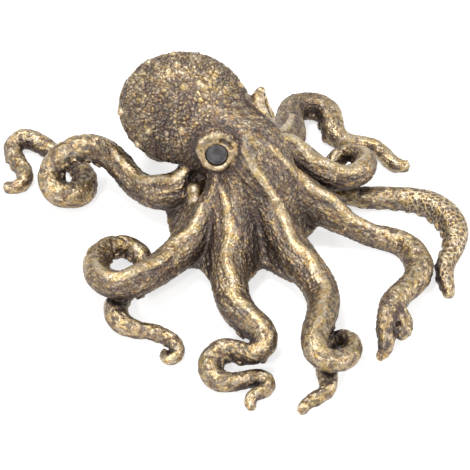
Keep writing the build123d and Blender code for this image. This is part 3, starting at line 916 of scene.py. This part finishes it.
def eye_wear(points, middle, out):
    """How far each place lies on the ring and brow of an eye, and how far in the crease round them."""
    gap = points - middle
    along = gap @ out
    gap = gap - rim_shift * upright(out)
    across = np.sqrt(np.maximum((gap**2).sum(1) - (gap @ out) ** 2, 0))
    rim = (1 - ramp(across, *rim_edge)) * ramp(along, *rim_back)
    crease = ramp(across, *crease_start) * (1 - ramp(across, *crease_end)) * ramp(along, *crease_back)
    return rim, crease


def turned(vector, axis, angle):
    """A direction turned about an axis."""
    kept = vector * cos(angle) + np.cross(axis, vector) * sin(angle)
    return kept + axis * (vector @ axis) * (1 - cos(angle))


def sucker_sides(name, ways, places):
    """The direction in which the suckers look, for each point along an arm."""
    rows, angles = zip(*twists[name])
    angle = np.radians(np.interp(places, rows, angles))[:, None]
    down = -upright(ways)
    return down * np.cos(angle) + np.cross(ways, down) * np.sin(angle)


def add_keel(field, name, line):
    """The deeper side of an arm, on which its suckers sit."""
    points, radii, ways, places = line
    sides = sucker_sides(name, ways, places)
    joint = arms[name][1]
    grown = ramp(places, joint, joint + keel_rows)[:, None]
    field.tube(points + sides * radii[:, None] * keel_share * grown, radii * keel_width_share, keel_blend)


def add_suckers(field, name, line):
    """Two staggered rows of low cupped discs along the sucker side of an arm, no two alike."""
    points, radii, ways, places = line
    sides = sucker_sides(name, ways, places)
    travelled = lengths_along(points)
    spot = sucker_margin
    side = 1
    while spot < travelled[-1] - sucker_margin:
        i = int(np.searchsorted(travelled, spot))
        chance = float(scrambled(*np.array([[i], [len(points)], [5]]), draws["sucker"])[0][0])
        out = turned(sides[i], ways[i], side * radians(sucker_turn + sucker_turn_spread * chance))
        size = (sucker_share + sucker_share_spread * chance) * radii[i]
        foot = points[i] + (keel_share * sides[i] + sucker_reach_share * out) * radii[i]
        reach = size + 1.4
        field.join_near(foot, reach, drum(foot, out, size, 0.16 + 0.2 * size, 0.1), 0.25)
        cup = foot + out * (0.2 * size + 0.12) + out * 0.42 * size
        field.join_near(foot, reach, ball(cup, cup_share * size), 0.12, carve=True)
        spot += sucker_pitch * size + sucker_gap
        side = -side


def crest_line(name):
    """The middles and radii of the narrow crest along the top of an arm near the head."""
    end = crests[name]
    points, radii, ways, places = part_of_line(lines[name], crest_start, end)
    above = upright(ways)
    fade = ramp(places, *crest_fade_rows) * (1 - ramp(places, end - crest_end_rows, end))
    width, pace = crest_wander
    aside = width * np.sin(places * pace)[:, None] * np.cross(ways, above)
    lift = radii - crest_sink + crest_lift * (1 - ramp(places, *crest_lift_rows))
    return points + lift[:, None] * unit(above + aside), crest_least + crest_growth * fade


def head_crests():
    """The middles and radii of the crests on the head."""
    return [middle_line(shares * span, fine_points_per_row)[:2] for shares in head_crest_shares]


def around_joint(field, name, keep_past):
    """Cuts a field at the joint of an arm, and keeps what lies past it or before it."""
    middle, radius, way = joint_of(name)
    reach = radius + 2.5
    part, *axes = field.window(middle - reach, middle + reach)
    past = beyond(middle, way)(*axes)
    near = ball(middle, radius + 1.5)(*axes)
    cut = -joint_overlap - past if keep_past else past - joint_overlap
    field.values[part] = np.maximum(field.values[part], np.minimum(cut, -near))


def root_web(name):
    """The skirt as far as it reaches past the joint of an arm."""
    middle, radius, _ = joint_of(name)
    near = ball(middle, radius + 1.4)
    return lambda x, y, z: np.maximum(web_distance(x, y, z), near(x, y, z))


def make_arm(name, table, joint):
    """One arm from its joint to its tip."""
    line = part_of_line(lines[name], joint - 0.1, len(table))
    points, radii, *_ = line
    field = Field(points.min(0) - 4, points.max(0) + 4, cell, 1.0)
    field.tube(points[::2], radii[::2])
    add_keel(field, name, tuple(values[::2] for values in line))
    field.join_near(points[0], 6.0, root_web(name), root_blend)
    if name == "arm_right_front":
        tip_curl(field)
    else:
        add_suckers(field, name, part_of_line(lines[name], joint + first_sucker_row, len(table)))
    field.tube(*crest_line(name), crest_blend)
    field.soften()
    around_joint(field, name, True)
    above_table(field)
    return surface(name, field, cast_skin(name))


def tip_curl(field):
    """The fold at the tip of the right front arm, with the suckers and the rounded rod that show there."""
    points, radii, *_ = middle_line(right_front_curl_shares * span, fine_points_per_row)
    field.tube(points, radii, 0.5)
    out = unit((0.05, -0.62, 0.78))
    for shares, width in tip_suckers:
        foot = np.array(shares) * span
        field.join_near(foot, width + 1.5, drum(foot, out, width / 2, 0.35, 0.14), 0.15)
        cup = ball(foot + 0.42 * out, 0.27 * width)
        field.join_near(foot, width + 1.5, cup, 0.1, carve=True)
    rod = tip_rod_shares * span
    field.tube(rod[:, :3], rod[:, 3] / 2, 0.2)


def above_table(field):
    """Cuts a piece off flat at the table."""
    heights = field.low[2] + field.step * np.arange(field.values.shape[2])
    field.values = np.maximum(field.values, -heights[None, None, :].astype(np.float32))


def make_body():
    """The mantle, head, web, roots of the arms and eyes in one piece."""
    field = Field(*body_box, cell, 1.6)
    field.join(*np.array(mantle_box), mantle_distance)
    field.tube(head_line[0], head_line[1], head_blend)
    field.join(*np.array(web_box), web_distance, web_blend)
    for name, (_, joint) in arms.items():
        points, radii, *_ = part_of_line(lines[name], 0, joint + 0.6)
        field.tube(points[::2], radii[::2], root_blend)
        field.tube(*crest_line(name), crest_blend)
    for middles, widths in head_crests():
        field.tube(middles, widths, head_crest_blend)
    for name, (shares, direction) in eyes.items():
        eye_form(field, *facing(shares, direction), brow_reaches[name])
    for *foot, width in wart_shares * span:
        field.join_near(np.array(foot), 2, ball(foot, width / 2), wart_blend)
    fold = throat_fold_shares * span
    field.tube(fold[:, :3], fold[:, 3] / 2, fold_blend)
    for shares in (arch_shares, arch_side_shares):
        carve_arch(field, shares * span)
    field.soften()
    for name in arms:
        around_joint(field, name, False)
    return surface("body", field, cast_skin("body"))


def carve_arch(field, rows):
    """Hollows out the space under the head along a line of changing width."""
    for a, b in zip(rows[:-1], rows[1:]):
        hollow = capsule(a[:3], b[:3], a[3] / 2, b[3] / 2)
        field.join(np.minimum(a, b)[:3] - 3.5, np.maximum(a, b)[:3] + 3.5, hollow, arch_blend, carve=True)


def plain_skin(level):
    """A skin with a little grain and the same wear all over."""

    def skin(points, normals, bulge):
        small = drift(points, small_size, draws["small"]) - 0.5
        return small_height * small, np.clip(level + 0.5 * small + 0.2 * np.clip(bulge, -1, 0), 0, 1)

    return skin


def make_siphon():
    """The short tube under the head, which ends in two rounded lobes."""
    middle, out = facing(siphon_place_shares, siphon_direction)
    across = unit(np.cross((0, 0, 1.0), out))
    upward = np.cross(out, across)
    field = Field(middle - 7, middle + 7, cell / 2, 1.0)
    field.tube(np.array([middle - 4.0 * out, middle - 1.4 * out]), np.full(2, siphon_width / 2))
    for aside, up, forward in np.array(siphon_lobe_shares) * siphon_width:
        lobe = middle + aside * across + up * upward + forward * out
        field.join_near(middle, 6, ball(lobe, siphon_lobe_width / 2), lobe_blend)
    field.soften()
    return surface("siphon", field, plain_skin(siphon_wear))


def make_inlay(name, shares, direction):
    """The dark stone-like disc at the bottom of an eye."""
    middle, out = facing(shares, direction)
    field = Field(middle - 4, middle + 4, cell / 2, 1.0)
    disc = drum(middle - inlay_setback * out, out, eye_bore / 2 - inlay_play, inlay_half_height, sharp_edge)
    field.join_near(middle, 4, disc)
    return surface(f"{name}_inlay", field, plain_skin(inlay_wear))


def new_material(name, settings):
    """A material, its node tree and its shader, with the values that are the same all over."""
    material = bpy.data.materials.new(name)
    material.use_nodes = True
    shader = material.node_tree.nodes["Principled BSDF"]
    for label, value in settings.items():
        shader.inputs[label].default_value = value
    return material, material.node_tree, shader


def add_node(tree, kind, settings):
    """A new node with the values of its inputs."""
    node = tree.nodes.new(kind)
    for label, value in settings.items():
        node.inputs[label].default_value = value
    return node


def clouds(tree, scale, detail, roughness):
    """Fine random clouds in the object's own space."""
    place = tree.nodes.new("ShaderNodeTexCoord")
    settings = {"Scale": scale, "Detail": detail, "Roughness": roughness}
    noise = add_node(tree, "ShaderNodeTexNoise", settings)
    tree.links.new(place.outputs["Object"], noise.inputs["Vector"])
    return noise.outputs["Fac"]


def stretched(tree, value, start, end, low, high):
    """A value from start to end, as one from low to high."""
    settings = {"From Min": start, "From Max": end, "To Min": low, "To Max": high}
    node = add_node(tree, "ShaderNodeMapRange", settings)
    tree.links.new(value, node.inputs["Value"])
    return node.outputs["Result"]


def calculated(tree, operation, first, second):
    """A sum, product or other working of two values."""
    node = tree.nodes.new("ShaderNodeMath")
    node.operation = operation
    for socket, value in zip(node.inputs, (first, second)):
        if isinstance(value, float):
            socket.default_value = value
        else:
            tree.links.new(value, socket)
    return node


def tinted(tree, value, stops):
    """A colour for each value, in even steps between the stops."""
    node = tree.nodes.new("ShaderNodeValToRGB")
    elements = node.color_ramp.elements
    while len(elements) < len(stops):
        elements.new(0.5)
    for element, (position, colour) in zip(elements, stops):
        element.position = position
        element.color = (*colour, 1)
    tree.links.new(value, node.inputs["Fac"])
    return node.outputs["Color"]


def brass():
    """Antique brass: pale gold where it is rubbed or painted lit, brown to purple grey where the patina
    stays or shade is painted.
    """
    material, tree, shader = new_material("antique_brass", {"Metallic": 1.0})
    lightness = tree.nodes.new("ShaderNodeAttribute")
    lightness.attribute_name = "lightness"
    speck = clouds(tree, 2600, 5, 0.65)
    brightness = calculated(tree, "ADD", lightness.outputs["Fac"], stretched(tree, speck, 0.3, 0.7, -0.3, 0.3))
    brightness.use_clamp = True
    stops = (
        (0.0, (0.086, 0.066, 0.059)),
        (0.22, (0.140, 0.104, 0.085)),
        (0.42, (0.220, 0.163, 0.111)),
        (0.62, (0.340, 0.255, 0.145)),
        (0.82, (0.500, 0.380, 0.212)),
        (1.0, (0.670, 0.535, 0.350)),
    )
    tint = tree.nodes.new("ShaderNodeHueSaturation")
    tree.links.new(tinted(tree, brightness.outputs[0], stops), tint.inputs["Color"])
    for socket, scale, low, high in (("Saturation", 900, 0.55, 1.35), ("Hue", 500, 0.488, 0.508)):
        amount = stretched(tree, clouds(tree, scale, 4, 0.6), 0.3, 0.7, low, high)
        tree.links.new(amount, tint.inputs[socket])
    tree.links.new(tint.outputs["Color"], shader.inputs["Base Color"])
    tree.links.new(stretched(tree, brightness.outputs[0], 0.0, 1.0, 0.50, 0.30), shader.inputs["Roughness"])
    bump = add_node(tree, "ShaderNodeBump", {"Strength": 0.8, "Distance": 0.00012})
    tree.links.new(speck, bump.inputs["Height"])
    tree.links.new(bump.outputs["Normal"], shader.inputs["Normal"])
    return material


def blackened_brass():
    """The dark, smooth and slightly blue eye inlays."""
    material, tree, shader = new_material("blackened_brass", {"Metallic": 0.7, "Roughness": 0.22})
    stops = ((0.3, (0.05, 0.045, 0.05)), (0.72, (0.17, 0.16, 0.165)))
    colour = tinted(tree, clouds(tree, 900, 3, 0.5), stops)
    tree.links.new(colour, shader.inputs["Base Color"])
    return material


def seen_directly(tree):
    """1 for what the camera sees itself, in the metal or through glass, and otherwise 0."""
    ray = tree.nodes.new("ShaderNodeLightPath").outputs
    first = calculated(tree, "MAXIMUM", ray["Is Camera Ray"], ray["Is Glossy Ray"])
    return calculated(tree, "MAXIMUM", first.outputs[0], ray["Is Transmission Ray"]).outputs[0]


def floor_white():
    """A white surface that also shows white in the camera and in the metal, and still takes a shadow."""
    settings = {"Base Color": (0.6, 0.6, 0.6, 1), "Roughness": 0.9, "Specular IOR Level": 0.1}
    material, tree, shader = new_material("floor_white", settings)
    shader.inputs["Emission Color"].default_value = (1, 1, 1, 1)
    glow = calculated(tree, "MULTIPLY", seen_directly(tree), 0.7)
    tree.links.new(glow.outputs[0], shader.inputs["Emission Strength"])
    return material


def make_floor():
    """The white ground."""
    bpy.ops.mesh.primitive_plane_add(size=6, location=(0, 0, 0))
    floor = bpy.context.object
    floor.name = "floor"
    floor.data.materials.append(floor_white())


def make_surroundings():
    """White surroundings, which light the figure less than they show."""
    world = bpy.data.worlds.new("surroundings")
    bpy.context.scene.world = world
    world.use_nodes = True
    tree = world.node_tree
    back = tree.nodes["Background"]
    back.inputs["Color"].default_value = (1, 1, 1, 1)
    level = stretched(tree, seen_directly(tree), 0.0, 1.0, surroundings_light, 1.0)
    tree.links.new(level, back.inputs["Strength"])


def make_lamp(name, place, size, power):
    """A square soft lamp that looks at the figure."""
    data = bpy.data.lights.new(name, "AREA")
    data.size = size
    data.energy = power
    lamp = bpy.data.objects.new(name, data)
    bpy.context.collection.objects.link(lamp)
    lamp.location = place
    lamp.rotation_mode = "QUATERNION"
    lamp.rotation_quaternion = Vector(place).to_track_quat("Z", "Y")


def make_camera():
    """The camera, which looks down on the figure with a long lens as in the photograph."""
    data = bpy.data.cameras.new("camera")
    camera = bpy.data.objects.new("camera", data)
    bpy.context.collection.objects.link(camera)
    tilt = radians(camera_tilt)
    camera.location = Vector(camera_target) + Vector((0, -sin(tilt), cos(tilt))) * camera_distance
    camera.rotation_euler = (tilt, 0, 0)
    data.sensor_width = 36
    data.lens = camera_lens
    data.clip_start = 0.01
    bpy.context.scene.camera = camera


lines = {name: middle_line(laid(table), points_per_row) for name, (table, _) in arms.items()}
head_line = middle_line(head_shares * (span, span, span, head_width), head_points_per_row)
whole = whole_field()
skin_material = brass()
eye_material = blackened_brass()
made = {"body": make_body(), "siphon": make_siphon()}
for name, (table, joint) in arms.items():
    made[name] = make_arm(name, table, joint)
for name, (shares, direction) in eyes.items():
    made[f"{name}_inlay"] = make_inlay(name, shares, direction)
for name, piece in made.items():
    dark = name.endswith("_inlay")
    piece.data.materials.append(eye_material if dark else skin_material)
    piece.name = f"{name}_cast"
    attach(piece, "root")
    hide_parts(name)
make_floor()
make_surroundings()
for name, (place, size, power) in lamps.items():
    make_lamp(name, place, size, power)
make_camera()
bpy.context.scene.view_settings.view_transform = "Standard"
